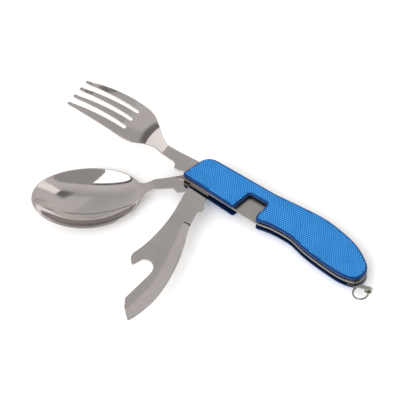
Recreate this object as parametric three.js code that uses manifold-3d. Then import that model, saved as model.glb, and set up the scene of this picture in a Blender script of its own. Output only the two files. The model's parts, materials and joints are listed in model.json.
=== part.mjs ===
// Folding camp cutlery: a fork, a spoon and a knife with a bottle-opener hook, in a handle that
// splits into two halves.
//
// The upper half is a textured scale and a steel plate with the fork between them. The lower half
// is a steel plate and a scale with the knife and the spoon between them. Two headed studs on the
// lower plate sit in keyhole slots in the upper plate and hold the halves together.
//
// Everything is drawn in the handle's frame: the pivot axis is Z, X runs from the pivot towards
// the tail, Y points to the spine, and Z is 0 on the handle's lower face. The finished handle is
// then turned and lifted to the attitude in which it lies on a flat surface, with Z up.
// All lengths are in millimetres and all angles in degrees.

import * as THREE from 'three';
import { mergeVertices } from 'three/addons/utils/BufferGeometryUtils.js';
import Module from 'manifold-3d';

const wasm = await Module();
wasm.setup();

// ---------------------------------------------------------------- driving dimensions

const SCALE_THICKNESS = 2.0;
const SCALE_BORDER = 0.9;         // width of the sloping border around the textured face
const SCALE_BORDER_DROP = 0.6;    // how far that border falls below the face
const PLATE_THICKNESS = 0.8;
const WASHER_THICKNESS = 0.15;
const SPOON_THICKNESS = 1.2;
const KNIFE_THICKNESS = 1.2;
const FORK_THICKNESS = 1.0;
const RUNNING_GAP = 0.03;         // between faces that slide on each other
const PLATE_GAP = 0.04;           // between the two halves
const FIT_GAP = 0.06;             // around pins and screws

const FORK_ANGLE = 178;           // where each tool points, seen from above, 0 is the tail
const SPOON_ANGLE = 220;
const KNIFE_ANGLE = 277.7;

const PIVOT_RADIUS = 2.0;
const PIVOT_HEAD_RADIUS = 3.0;
const WASHER_RADIUS = 4.2;
const SCREW_RADIUS = 0.75;
const SCREW_HEAD_RADIUS = 1.2;
const HEAD_DEPTH = 0.5;           // countersink depth of the pivots and the screws
const BLIND_DEPTH = 1.25;         // how deep pivots and screws reach into a scale
const STOP_PIN_RADIUS = 0.7;
const SPACER_SWEEP_RADIUS = 95.8; // the tail spacers stay outside the knife's swing

const STUD_NECK_RADIUS = 1.2;
const STUD_FOOT_RADIUS = 1.6;
const STUD_FOOT_FLARE = 2.0;
const STUD_HEAD_RADIUS = 2.1;
const STUD_HEAD_THICKNESS = 0.6;
const UNLOCK_TRAVEL = 7;          // slide of the upper half that brings the studs to the holes

const BOWL_DEPTH = 7.4;
const BOWL_START = 33.5;
const BOWL_END = 91.5;
const BOWL_HALF_WIDTH = 18.1;

const FORK_LENGTH = 83.5;
const TINE_ROOT = 48.5;
const TINE_SLOT_HALF_WIDTH = 0.95;

const EYE_INNER_RADIUS = 1.5;
const EYE_STRIP = 0.6;
const EYE_WIDTH = 2.1;
const EYE_TURN = 20;              // direction in which the eye's tab leaves the tail
const EYE_CENTRE = { x: 106.45, y: -9.5 };
const RING_RADIUS = 4.1;          // to the middle of the wire
const RING_WIRE_WIDTH = 0.8;
const RING_WIRE_HEIGHT = 0.45;    // of one coil
const RING_COIL_GAP = 0.06;
const RING_SKEW = 30;             // between the ring's tangent in the eye and the eye's axis
const RING_DROOP = 10;            // how far the ring hangs below level

const REST_ROLL = -10.58;         // the handle's turn when it lies on its spine and the bowl
const REST_PITCH = 1.79;

const ROUND_SIDES = 20;
const CURVE_STEPS = 4;

// ---------------------------------------------------------------- layers, from the lower face up

const lowerScale = { bottom: 0, top: SCALE_THICKNESS };
const spoonWasher = layerAbove(lowerScale, WASHER_THICKNESS);
const spoonLayer = layerAbove(spoonWasher, SPOON_THICKNESS);
const middleWasher = layerAbove(spoonLayer, WASHER_THICKNESS);
const knifeLayer = layerAbove(middleWasher, KNIFE_THICKNESS);
const knifeWasher = layerAbove(knifeLayer, WASHER_THICKNESS);
const lowerPlate = layerAbove(knifeWasher, PLATE_THICKNESS);
const upperPlate = layerAbove(lowerPlate, PLATE_THICKNESS, PLATE_GAP);
const forkWasherLower = layerAbove(upperPlate, WASHER_THICKNESS);
const forkLayer = layerAbove(forkWasherLower, FORK_THICKNESS);
const forkWasherUpper = layerAbove(forkLayer, WASHER_THICKNESS);
const upperScale = layerAbove(forkWasherUpper, SCALE_THICKNESS);

function layerAbove(below, thickness, gap = RUNNING_GAP) {
  return { bottom: below.top + gap, top: below.top + gap + thickness };
}

function middle(layer) {
  return (layer.bottom + layer.top) / 2;
}

// ---------------------------------------------------------------- places of the fastenings

const lowerScrews = [
  { x: 29, y: 7.6 },
  { x: 98.1, y: -8.4 },
  { x: 98.2, y: -1.8 },
];
const upperScrews = [
  { x: 30, y: 6.4 },
  { x: 68, y: 0 },
  { x: 98.1, y: -8.4 },
  { x: 98.2, y: -1.8 },
];
const lockStuds = [
  { x: 48, y: 0 },
  { x: 82, y: -2 },
];
const stopPin = { x: 17.3, y: 7.9 };

// ---------------------------------------------------------------- materials

const steel = material(0x9b918c, 0.22, 1.0);
const brushedSteel = material(0xb9b2a8, 0.35, 1.0);
const blueAluminium = material(0x3788d8, 0.42, 0.6);
const washerBrass = material(0xb89a5a, 0.4, 1.0);

function material(color, roughness, metalness) {
  return new THREE.MeshStandardMaterial({ color, roughness, metalness });
}

// ---------------------------------------------------------------- solids

function toSolid(geometry) {
  const bare = geometry.clone();
  bare.deleteAttribute('normal');
  bare.deleteAttribute('uv');
  const merged = mergeVertices(bare, 1e-4);
  const corners = merged.index.array;
  const triangles = [];
  for (let i = 0; i < corners.length; i += 3) {
    const [a, b, c] = corners.slice(i, i + 3);
    if (a !== b && b !== c && c !== a) {
      triangles.push(a, b, c);
    }
  }
  return new wasm.Manifold(new wasm.Mesh({
    numProp: 3,
    vertProperties: new Float32Array(merged.attributes.position.array),
    triVerts: new Uint32Array(triangles),
  }));
}

function toGeometry(solid) {
  const mesh = solid.getMesh();
  const geometry = new THREE.BufferGeometry();
  geometry.setAttribute('position', new THREE.BufferAttribute(mesh.vertProperties, 3));
  geometry.setIndex(new THREE.BufferAttribute(mesh.triVerts, 1));
  geometry.computeVertexNormals();
  return geometry;
}

function prism(shape, bottom, top) {
  const options = { depth: top - bottom, bevelEnabled: false, curveSegments: CURVE_STEPS };
  return toSolid(new THREE.ExtrudeGeometry(shape, options).translate(0, 0, bottom));
}

function disc(radius, bottom, top, at = { x: 0, y: 0 }, sides = ROUND_SIDES) {
  const geometry = new THREE.CylinderGeometry(radius, radius, top - bottom, sides);
  geometry.rotateX(Math.PI / 2);
  return toSolid(geometry.translate(at.x, at.y, (bottom + top) / 2));
}

// A turned solid. The profile lists [radius, z] from the bottom of the axis to its top.
function turned(profile, at = { x: 0, y: 0 }, sides = ROUND_SIDES) {
  const points = profile.map(([radius, z]) => new THREE.Vector2(radius, z));
  const geometry = new THREE.LatheGeometry(points, sides);
  geometry.rotateX(Math.PI / 2);
  return toSolid(geometry.translate(at.x, at.y, 0));
}

function cut(solid, cutters) {
  return cutters.reduce((rest, cutter) => rest.subtract(cutter), solid);
}

function join(solids) {
  return solids.reduce((whole, solid) => whole.add(solid));
}

// A closed outline through corner points [x, y, trim]. A corner with a trim is rounded, starting
// and ending that far along its sides.
function roundedOutline(corners) {
  const shape = new THREE.Shape();
  addRoundedCorners(shape, corners, true);
  shape.closePath();
  return shape;
}

function addRoundedCorners(shape, corners, closed = false) {
  const last = corners.length - 1;
  const from = closed ? 0 : 1;
  const to = closed ? last : last - 1;
  for (let i = from; i <= to; i += 1) {
    const corner = pointOf(corners[i]);
    const before = pointOf(corners[i === 0 ? last : i - 1]);
    const after = pointOf(corners[i === last ? 0 : i + 1]);
    const trim = corners[i][2] ?? 0;
    const start = towards(corner, before, trim);
    const end = towards(corner, after, trim);
    if (closed && i === from) {
      shape.moveTo(start.x, start.y);
    } else {
      shape.lineTo(start.x, start.y);
    }
    if (trim > 0) {
      shape.quadraticCurveTo(corner.x, corner.y, end.x, end.y);
    }
  }
}

function pointOf([x, y]) {
  return new THREE.Vector2(x, y);
}

function towards(from, to, distance) {
  return to.clone().sub(from).setLength(distance).add(from);
}

// A bent sheet of even thickness, symmetrical about X. halfWidth(x) gives its plan and
// height(x, across) the middle of its thickness, where across runs from -1 to 1.
function bentSheet({ from, to, rows, columns, thickness, halfWidth, height }) {
  const positions = [];
  const corner = (row, column, side) => (side * (rows + 1) + row) * (columns + 1) + column;
  for (const side of [0, 1]) {
    for (let row = 0; row <= rows; row += 1) {
      const x = from + (to - from) * row / rows;
      for (let column = 0; column <= columns; column += 1) {
        const across = 2 * column / columns - 1;
        const z = height(x, across) + (side - 0.5) * thickness;
        positions.push(x, across * halfWidth(x), z);
      }
    }
  }
  const triangles = [];
  const quad = (a, b, c, d) => triangles.push(a, b, c, a, c, d);
  for (let row = 0; row < rows; row += 1) {
    for (let column = 0; column < columns; column += 1) {
      const at = (side, r, c) => corner(row + r, column + c, side);
      quad(at(1, 0, 0), at(1, 1, 0), at(1, 1, 1), at(1, 0, 1));
      quad(at(0, 0, 0), at(0, 0, 1), at(0, 1, 1), at(0, 1, 0));
    }
    quad(corner(row, 0, 0), corner(row + 1, 0, 0), corner(row + 1, 0, 1), corner(row, 0, 1));
    const edge = columns;
    quad(corner(row, edge, 0), corner(row, edge, 1), corner(row + 1, edge, 1), corner(row + 1, edge, 0));
  }
  for (let column = 0; column < columns; column += 1) {
    const next = column + 1;
    quad(corner(0, column, 0), corner(0, column, 1), corner(0, next, 1), corner(0, next, 0));
    quad(corner(rows, column, 0), corner(rows, next, 0), corner(rows, next, 1), corner(rows, column, 1));
  }
  const geometry = new THREE.BufferGeometry();
  geometry.setAttribute('position', new THREE.Float32BufferAttribute(positions, 3));
  geometry.setIndex(triangles);
  return toSolid(geometry);
}

// Smooth curve through [x, y] pairs, read as y at a given x.
function profileThrough(pairs) {
  const last = pairs.length - 1;
  return (x) => {
    const found = pairs.findIndex(([px]) => px > x);
    const i = found < 0 ? last - 1 : Math.max(found - 1, 0);
    const [x0, y0] = pairs[i];
    const [x1, y1] = pairs[i + 1];
    const t = THREE.MathUtils.clamp((x - x0) / (x1 - x0), 0, 1);
    const slope0 = slopeAt(i) * (x1 - x0);
    const slope1 = slopeAt(i + 1) * (x1 - x0);
    const t2 = t * t;
    const t3 = t2 * t;
    return (2 * t3 - 3 * t2 + 1) * y0 + (t3 - 2 * t2 + t) * slope0
      + (3 * t2 - 2 * t3) * y1 + (t3 - t2) * slope1;
  };

  function slopeAt(i) {
    if (i === 0 || i === last) {
      return 0;
    }
    return (pairs[i + 1][1] - pairs[i - 1][1]) / (pairs[i + 1][0] - pairs[i - 1][0]);
  }
}

// ---------------------------------------------------------------- handle outline

// The head, belly and tail are the same on scales and plates. The scales also have a notch in
// the belly, which clears the necks of the folded fork and spoon.
function handleOutline({ notched }) {
  const shape = new THREE.Shape();
  const spineStart = [37, 9.3];
  const tail = [
    [52.6, 10.5], [66, 11.1], [78.7, 9.4], [88.8, 6.6], [96.8, 2.0], [100.7, -2.0],
    [101.2, -6.6], [98.8, -11.0], [91, -12.9], [79.4, -12.2], [67.2, -10.5], [57, -8.0],
    [46, -8.0], [38.5, -9.3],
  ];
  const notch = [
    [36.8, -9.7, 1.2], [35.5, -5.8, 1.8], [36.8, -2.2, 1.8], [36.6, 2.0, 1.2],
    [25.8, 2.0, 1.5], [23.1, -9.9, 1.6],
  ];
  const head = [[-10.4, -7.4, 2.4], [-5.0, 9.5, 6.3]];
  shape.moveTo(...spineStart);
  shape.splineThru(tail.map(pointOf));
  const belly = notched ? notch : [];
  addRoundedCorners(shape, [tail.at(-1), ...belly, ...head, spineStart]);
  shape.closePath();
  return shape;
}

// ---------------------------------------------------------------- fastenings

// A pivot or screw with a countersunk head flush in a plate and its far end in a scale. The
// plate's outer face is at face, and direction is 1 where the scale lies above the plate.
function fastener({ radius, headRadius, face, end, at, slack = 0 }) {
  const direction = Math.sign(end - face);
  const profile = [
    [0, face],
    [headRadius + slack, face],
    [radius + slack, face + direction * HEAD_DEPTH],
    [radius + slack, end],
    [0, end],
  ];
  return turned(direction > 0 ? profile : profile.reverse(), at);
}

const lowerEnd = lowerScale.top - BLIND_DEPTH;
const upperEnd = upperScale.bottom + BLIND_DEPTH;
const pivotSize = { radius: PIVOT_RADIUS, headRadius: PIVOT_HEAD_RADIUS, at: { x: 0, y: 0 } };
const screwSize = { radius: SCREW_RADIUS, headRadius: SCREW_HEAD_RADIUS };
const lowerFastenings = [
  { ...pivotSize, face: lowerPlate.top, end: lowerEnd },
  ...lowerScrews.map((at) => ({ ...screwSize, at, face: lowerPlate.top, end: lowerEnd })),
];
const upperFastenings = [
  { ...pivotSize, face: upperPlate.bottom, end: upperEnd },
  ...upperScrews.map((at) => ({ ...screwSize, at, face: upperPlate.bottom, end: upperEnd })),
];

// The holes reach a little past both ends of what goes into them.
function holesFor(fastenings) {
  return fastenings.map((one) => {
    const direction = Math.sign(one.end - one.face);
    const mouth = disc(
      one.headRadius + FIT_GAP,
      Math.min(one.face, one.face - direction),
      Math.max(one.face, one.face - direction),
      one.at,
    );
    return fastener({ ...one, end: one.end + direction * FIT_GAP, slack: FIT_GAP }).add(mouth);
  });
}

function stopPinSolid(slack = 0) {
  return disc(STOP_PIN_RADIUS + slack, lowerEnd - slack, lowerPlate.top - 0.1 + slack, stopPin);
}

function studSolid(at, slack = 0) {
  const head = upperPlate.top + RUNNING_GAP;
  return turned([
    [0, lowerPlate.bottom],
    [STUD_FOOT_FLARE + slack, lowerPlate.bottom],
    [STUD_FOOT_RADIUS + slack, lowerPlate.bottom + 0.4],
    [STUD_FOOT_RADIUS + slack, lowerPlate.top],
    [STUD_NECK_RADIUS, lowerPlate.top],
    [STUD_NECK_RADIUS, head],
    [STUD_HEAD_RADIUS, head],
    [STUD_HEAD_RADIUS, head + STUD_HEAD_THICKNESS],
    [0, head + STUD_HEAD_THICKNESS],
  ], at);
}

// ---------------------------------------------------------------- handle parts

// The textured face of a scale is level, and a sloping border runs around it.
function scaleSolid(layer, faceUp, holes) {
  const body = new THREE.ExtrudeGeometry(handleOutline({ notched: true }), {
    depth: 2 * (SCALE_THICKNESS - SCALE_BORDER_DROP),
    bevelSegments: 1,
    bevelThickness: SCALE_BORDER_DROP,
    bevelSize: SCALE_BORDER,
    bevelOffset: -SCALE_BORDER,
    curveSegments: CURVE_STEPS,
  });
  body.translate(0, 0, SCALE_BORDER_DROP - SCALE_THICKNESS);
  const keep = new THREE.BoxGeometry(300, 300, 10).translate(0, 0, faceUp ? 5 : -5);
  const half = toSolid(body).intersect(toSolid(keep));
  return cut(half.translate(0, 0, faceUp ? layer.bottom : layer.top), holes);
}

function upperPlateSolid() {
  const blank = prism(handleOutline({ notched: false }), upperPlate.bottom, upperPlate.top);
  const slots = lockStuds.map((stud) => keyhole(stud));
  return cut(blank, [...slots, ...holesFor(upperFastenings)]);
}

// The stud's neck rests at the head end of the slot, and its head fits the hole at the tail end.
function keyhole(stud) {
  const low = upperPlate.bottom - 1;
  const high = upperPlate.top + 1;
  const slotRadius = STUD_NECK_RADIUS + 0.15;
  const hole = { x: stud.x + UNLOCK_TRAVEL, y: stud.y };
  const slot = new THREE.BoxGeometry(UNLOCK_TRAVEL, 2 * slotRadius, high - low);
  slot.translate(stud.x + UNLOCK_TRAVEL / 2, stud.y, (low + high) / 2);
  return join([
    disc(slotRadius, low, high, stud),
    toSolid(slot),
    disc(STUD_HEAD_RADIUS + 0.2, low, high, hole),
  ]);
}

function lowerPlateSolid() {
  const blank = prism(handleOutline({ notched: false }), lowerPlate.bottom, lowerPlate.top);
  const footHoles = lockStuds.map((at) => studFootHole(at));
  const holes = [...holesFor(lowerFastenings), ...footHoles, stopPinSolid(FIT_GAP)];
  return cut(blank.add(eyeSolid()), holes);
}

function studFootHole(at) {
  return turned([
    [0, lowerPlate.bottom - 1],
    [STUD_FOOT_FLARE + FIT_GAP, lowerPlate.bottom - 1],
    [STUD_FOOT_FLARE + FIT_GAP, lowerPlate.bottom],
    [STUD_FOOT_RADIUS + FIT_GAP, lowerPlate.bottom + 0.4],
    [STUD_FOOT_RADIUS + FIT_GAP, lowerPlate.top + 1],
    [0, lowerPlate.top + 1],
  ], at);
}

// The lower plate's tail runs out as a narrow tab, rolled down into an eye.
const EYE_OUTER_RADIUS = EYE_INNER_RADIUS + EYE_STRIP;
const eyeHeight = lowerPlate.top - EYE_OUTER_RADIUS;

function eyeSolid() {
  const tabLength = 5;
  const rollEnd = THREE.MathUtils.degToRad(-205);
  const profile = new THREE.Shape();
  profile.moveTo(-tabLength, EYE_OUTER_RADIUS);
  profile.lineTo(-tabLength, EYE_INNER_RADIUS);
  profile.lineTo(0, EYE_INNER_RADIUS);
  profile.absarc(0, 0, EYE_INNER_RADIUS, Math.PI / 2, rollEnd, true);
  profile.absarc(0, 0, EYE_OUTER_RADIUS, rollEnd, Math.PI / 2, false);
  profile.closePath();
  const options = { depth: EYE_WIDTH, bevelEnabled: false, curveSegments: 18 };
  const geometry = new THREE.ExtrudeGeometry(profile, options);
  geometry.translate(0, 0, -EYE_WIDTH / 2);
  geometry.rotateX(Math.PI / 2);
  geometry.rotateZ(THREE.MathUtils.degToRad(EYE_TURN));
  const root = roundedOutline([
    [94.5, -12.3], [100, -12.1, 2.0], [103.2, -11.8], [103.9, -9.4], [100.9, -7.2, 1.5], [96, -7],
  ]);
  const roll = toSolid(geometry.translate(EYE_CENTRE.x, EYE_CENTRE.y, eyeHeight));
  return roll.add(prism(root, lowerPlate.top - EYE_STRIP, lowerPlate.top));
}

// Spacers fill the gap between a plate and its scale, along the edge of the handle.
function spacerSolid(region, bottom, top, holes) {
  const blank = prism(handleOutline({ notched: false }), bottom, top);
  return cut(blank.intersect(region), holes);
}

function tailRegion() {
  const beyond = new THREE.BoxGeometry(60, 60, 40).translate(SPACER_SWEEP_RADIUS + 20, 0, 0);
  return toSolid(beyond).subtract(disc(SPACER_SWEEP_RADIUS, -30, 30, { x: 0, y: 0 }, 160));
}

function boxRegion(x0, x1, y0, y1) {
  const box = new THREE.BoxGeometry(x1 - x0, y1 - y0, 40);
  return toSolid(box.translate((x0 + x1) / 2, (y0 + y1) / 2, 0));
}

function washerSolid(layer) {
  const ring = disc(WASHER_RADIUS, layer.bottom, layer.top);
  return ring.subtract(disc(PIVOT_RADIUS + FIT_GAP, layer.bottom - 1, layer.top + 1));
}

// ---------------------------------------------------------------- tools, each along its own X

const pivotHole = disc(PIVOT_RADIUS + FIT_GAP, -20, 20);

// The flat tang of the fork and the spoon: round about the pivot, with a kick on one side.
function tangSolid(thickness, length, neckHalfWidth) {
  const outline = roundedOutline([
    [length, -neckHalfWidth],
    [length, neckHalfWidth],
    [18.2, neckHalfWidth + 0.2, 1.2],
    [17.0, 4.4, 0.6],
    [16.4, 6.3, 1.0],
    [13.2, 6.3, 1.4],
    [10.5, 5.2, 1.5],
    [-5.6, 5.6, 5.4],
    [-5.6, -5.6, 5.4],
    [18, -neckHalfWidth - 0.3, 4.0],
  ]);
  return prism(outline, -thickness / 2, thickness / 2);
}

function forkSolid() {
  const neck = 25;
  const halfWidth = profileThrough([
    [neck, 3.1], [30, 3.6], [35, 6.7], [40, 9.9], [45, 11.2], [52, 11.4], [62, 11.0],
    [72, 10.2], [FORK_LENGTH, 8.9],
  ]);
  const rise = profileThrough([
    [neck, 0], [27, 0.3], [35, 6.4], [44, 8.9], [54, 9.6], [64, 8.7], [74, 6.5],
    [FORK_LENGTH, 4.0],
  ]);
  const dish = profileThrough([[neck, 0], [34, 0], [46, 1.2], [56, 0.9], [FORK_LENGTH, 0.3]]);
  const sheet = bentSheet({
    from: neck, to: FORK_LENGTH, rows: 30, columns: 8, thickness: FORK_THICKNESS,
    halfWidth, height: (x, across) => rise(x) - dish(x) * across * across,
  });
  const tang = tangSolid(FORK_THICKNESS, neck + 0.5, 3.1);
  const slots = [-1, 0, 1].map((side) => tineSlot(side));
  return cut(sheet.add(tang), [pivotHole, ...slots]);
}

// The gaps between the four tines have round ends and widen towards the tips.
function tineSlot(side) {
  const rootY = side * 5.7;
  const tipY = side * 5.4;
  const tipHalf = 1.75;
  const shape = new THREE.Shape();
  shape.moveTo(TINE_ROOT, rootY - TINE_SLOT_HALF_WIDTH);
  shape.lineTo(FORK_LENGTH + 2, tipY - tipHalf);
  shape.lineTo(FORK_LENGTH + 2, tipY + tipHalf);
  shape.lineTo(TINE_ROOT, rootY + TINE_SLOT_HALF_WIDTH);
  shape.absarc(TINE_ROOT, rootY, TINE_SLOT_HALF_WIDTH, Math.PI / 2, 1.5 * Math.PI, false);
  return prism(shape, -20, 30);
}

function spoonSolid() {
  const neck = 25.5;
  const middleX = (BOWL_START + BOWL_END) / 2;
  const halfLength = (BOWL_END - BOWL_START) / 2;
  const ellipse = (x) => Math.sqrt(Math.max(0, 1 - ((x - middleX) / halfLength) ** 2));
  const shoulder = profileThrough([[neck, 3.1], [31, 3.2], [36, 6.2], [40, 9]]);
  const halfWidth = (x) => {
    const oval = BOWL_HALF_WIDTH * ellipse(x);
    return x < 40 ? Math.max(shoulder(x), oval) : Math.max(oval, 1.2);
  };
  const rim = profileThrough([
    [neck, 0], [27.2, -0.3], [34, -4.6], [44, -6.1], [60, -6.9], [76, -5.8], [BOWL_END, -3.7],
  ]);
  const height = (x, across) => rim(x) - BOWL_DEPTH * ellipse(x) * (1 - across * across);
  const sheet = bentSheet({
    from: neck, to: BOWL_END - 0.1, rows: 44, columns: 14, thickness: SPOON_THICKNESS,
    halfWidth, height,
  });
  const tang = tangSolid(SPOON_THICKNESS, neck + 0.5, 3.1);
  return cut(sheet.add(tang), [pivotHole]);
}

// The knife's back carries the opener's hook, and its edge curves round to the tip.
function knifeSolid() {
  const shape = new THREE.Shape();
  shape.moveTo(36, -7.2);
  shape.quadraticCurveTo(48, -9.2, 57, -13.8);
  shape.quadraticCurveTo(60.5, -15.0, 63.9, -11.4);
  shape.quadraticCurveTo(61.4, -9.2, 59.0, -8.2);
  shape.bezierCurveTo(56.6, -5.0, 58.4, -0.6, 62.4, -0.3);
  shape.quadraticCurveTo(64.5, -0.4, 67, -1.1);
  shape.lineTo(83.2, -5.7);
  shape.lineTo(88.0, -3.9);
  shape.quadraticCurveTo(91.6, -1.5, 94.8, 1.5);
  shape.quadraticCurveTo(90, 5.0, 80, 8.0);
  shape.bezierCurveTo(70, 10.6, 52, 10.9, 36, 6.3);
  shape.lineTo(31, 5.2);
  shape.lineTo(21.4, 5.0);
  shape.quadraticCurveTo(20.2, 5.2, 19.6, 7.0);
  shape.lineTo(17.6, 7.0);
  shape.lineTo(14.4, 5.7);
  shape.lineTo(0, 5.7);
  shape.absarc(0, 0, 5.7, Math.PI / 2, 1.5 * Math.PI, false);
  shape.lineTo(14, -6.1);
  shape.lineTo(24, -6.0);
  shape.quadraticCurveTo(30, -6.2, 36, -7.2);
  return cut(prism(shape, -KNIFE_THICKNESS / 2, KNIFE_THICKNESS / 2), [pivotHole]);
}

// ---------------------------------------------------------------- split ring

// Two turns of flat wire, one on the other, which cross over in the last part of the first turn.
function ringGeometry() {
  const pitch = RING_WIRE_HEIGHT + RING_COIL_GAP;
  const turns = 1.97;
  const crossing = THREE.MathUtils.degToRad(50);
  const steps = 72;
  const positions = [];
  const triangles = [];
  const section = [[-1, -1], [1, -1], [1, 1], [-1, 1]];
  for (let step = 0; step <= steps; step += 1) {
    const angle = 2 * Math.PI * turns * step / steps;
    const crossed = THREE.MathUtils.smoothstep(angle, 2 * Math.PI - crossing, 2 * Math.PI);
    for (const [out, up] of section) {
      const radius = RING_RADIUS + out * RING_WIRE_WIDTH / 2;
      const z = (crossed - 0.5) * pitch + up * RING_WIRE_HEIGHT / 2;
      positions.push(radius * Math.cos(angle), radius * Math.sin(angle), z);
    }
  }
  const count = section.length;
  for (let step = 0; step < steps; step += 1) {
    for (let side = 0; side < count; side += 1) {
      const a = step * count + side;
      const b = step * count + (side + 1) % count;
      triangles.push(a, b + count, b, a, a + count, b + count);
    }
  }
  const end = steps * count;
  triangles.push(0, 1, 2, 0, 2, 3, end, end + 2, end + 1, end, end + 3, end + 2);
  const geometry = new THREE.BufferGeometry();
  geometry.setAttribute('position', new THREE.Float32BufferAttribute(positions, 3));
  geometry.setIndex(triangles);
  return geometry;
}

// ---------------------------------------------------------------- assembly

const handle = new THREE.Group();

function addPart(name, shape, finish, parent = handle) {
  const geometry = shape instanceof THREE.BufferGeometry ? shape : toGeometry(shape);
  const mesh = new THREE.Mesh(geometry, finish);
  mesh.name = name;
  parent.add(mesh);
  return mesh;
}

function addTool(name, solid, layer, angle) {
  const mesh = addPart(name, solid, steel);
  mesh.position.z = middle(layer);
  mesh.rotation.z = THREE.MathUtils.degToRad(angle);
}

function addFasteners(prefix, fastenings) {
  const [pivot, ...screws] = fastenings;
  addPart(`${prefix}_pivot`, fastener(pivot), brushedSteel);
  screws.forEach((screw, i) => addPart(`${prefix}_screw_${i + 1}`, fastener(screw), brushedSteel));
}

// Lower half, from the lower face up.
const lowerHoles = [...holesFor(lowerFastenings), stopPinSolid(FIT_GAP)];
addPart('lower_scale', scaleSolid(lowerScale, false, lowerHoles), blueAluminium);
addPart('spoon_washer', washerSolid(spoonWasher), washerBrass);
addTool('spoon', spoonSolid(), spoonLayer, SPOON_ANGLE);
addPart('middle_washer', washerSolid(middleWasher), washerBrass);
addTool('knife', knifeSolid(), knifeLayer, KNIFE_ANGLE);
addPart('knife_washer', washerSolid(knifeWasher), washerBrass);
addPart('lower_plate', lowerPlateSolid(), brushedSteel);
addFasteners('lower', lowerFastenings);
addPart('stop_pin', stopPinSolid(), brushedSteel);
lockStuds.forEach((at, i) => addPart(`lock_stud_${i + 1}`, studSolid(at), brushedSteel));

const lowerGap = [lowerScale.top + RUNNING_GAP, lowerPlate.bottom - RUNNING_GAP];
const lowerFront = boxRegion(22.5, 36, 6.3, 20);
addPart('lower_front_spacer', spacerSolid(lowerFront, ...lowerGap, lowerHoles), brushedSteel);
addPart('lower_tail_spacer', spacerSolid(tailRegion(), ...lowerGap, lowerHoles), brushedSteel);

// Upper half.
const upperHoles = holesFor(upperFastenings);
addPart('upper_plate', upperPlateSolid(), brushedSteel);
addPart('fork_washer_lower', washerSolid(forkWasherLower), washerBrass);
addTool('fork', forkSolid(), forkLayer, FORK_ANGLE);
addPart('fork_washer_upper', washerSolid(forkWasherUpper), washerBrass);
addPart('upper_scale', scaleSolid(upperScale, true, upperHoles), blueAluminium);
addFasteners('upper', upperFastenings);

const upperGap = [upperPlate.top + RUNNING_GAP, upperScale.bottom - RUNNING_GAP];
const upperFront = boxRegion(22.5, 40, 4.4, 20);
const upperMiddle = disc(3.2, -20, 30, upperScrews[1]);
addPart('upper_front_spacer', spacerSolid(upperFront, ...upperGap, upperHoles), brushedSteel);
addPart('upper_middle_spacer', spacerSolid(upperMiddle, ...upperGap, upperHoles), brushedSteel);
addPart('upper_tail_spacer', spacerSolid(tailRegion(), ...upperGap, upperHoles), brushedSteel);

// The ring passes through the eye. It turns about the eye's axis, which is the swing group's X.
const eyeAxis = THREE.MathUtils.degToRad(EYE_TURN - 90);
const swing = new THREE.Group();
swing.position.set(EYE_CENTRE.x, EYE_CENTRE.y, eyeHeight);
swing.rotation.set(THREE.MathUtils.degToRad(RING_DROOP), 0, eyeAxis, 'ZYX');
const ring = addPart('split_ring', ringGeometry(), brushedSteel, swing);
const ringTurn = THREE.MathUtils.degToRad(RING_SKEW - 90);
ring.position.set(RING_RADIUS * Math.cos(ringTurn), RING_RADIUS * Math.sin(ringTurn), 0);
handle.add(swing);

// The tool at rest on a flat surface, with the middle of its box over the origin.
const part = new THREE.Group();
part.add(handle);
handle.rotation.set(
  THREE.MathUtils.degToRad(REST_ROLL),
  THREE.MathUtils.degToRad(REST_PITCH),
  0,
);
const box = new THREE.Box3().setFromObject(part, true);
const centre = box.getCenter(new THREE.Vector3());
handle.position.set(-centre.x, -centre.y, -box.min.z);

export default part;
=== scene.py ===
import json
import math

import bpy
import numpy as np
from mathutils import Matrix, Vector
from mathutils.geometry import delaunay_2d_cdt


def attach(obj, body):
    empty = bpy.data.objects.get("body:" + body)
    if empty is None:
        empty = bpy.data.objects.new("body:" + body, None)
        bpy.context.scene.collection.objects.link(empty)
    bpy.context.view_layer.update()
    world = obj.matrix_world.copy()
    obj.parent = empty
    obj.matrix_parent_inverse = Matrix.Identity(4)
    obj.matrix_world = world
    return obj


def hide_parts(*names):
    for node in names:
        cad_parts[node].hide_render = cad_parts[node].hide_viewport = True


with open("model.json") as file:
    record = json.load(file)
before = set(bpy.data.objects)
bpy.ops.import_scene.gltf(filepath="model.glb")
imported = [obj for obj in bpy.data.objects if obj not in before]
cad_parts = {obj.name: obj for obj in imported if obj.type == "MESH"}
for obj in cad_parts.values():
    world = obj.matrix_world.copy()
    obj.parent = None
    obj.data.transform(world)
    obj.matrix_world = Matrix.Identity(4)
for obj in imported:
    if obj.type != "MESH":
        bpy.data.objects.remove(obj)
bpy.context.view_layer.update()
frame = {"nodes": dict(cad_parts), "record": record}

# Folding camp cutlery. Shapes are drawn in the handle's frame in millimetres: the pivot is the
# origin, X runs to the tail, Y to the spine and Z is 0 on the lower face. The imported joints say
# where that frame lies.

# ---------------------------------------------------------------- the handle's frame

joints = {joint["name"]: joint for joint in frame["record"]["behaviour"]["joints"]}
UP = Vector(joints["spoon_pivot"]["axis"]).normalized()
ALONG = -Vector(joints["halves_slide"]["axis"]).normalized()
ACROSS = UP.cross(ALONG)
PIVOT = Vector(joints["spoon_pivot"]["pos_m"])
MM = 0.001
HANDLE = Matrix.Translation(PIVOT) @ Matrix((ALONG, ACROSS, UP)).transposed().to_4x4()


def placed(angle=0.0, z=0.0, x=0.0, y=0.0):
    """Matrix from a piece's own millimetres to the row frame."""
    move = Matrix.Translation(Vector((x, y, z)) * MM)
    turn = Matrix.Rotation(math.radians(angle), 4, "Z")
    return HANDLE @ move @ turn @ Matrix.Scale(MM, 4)


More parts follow.
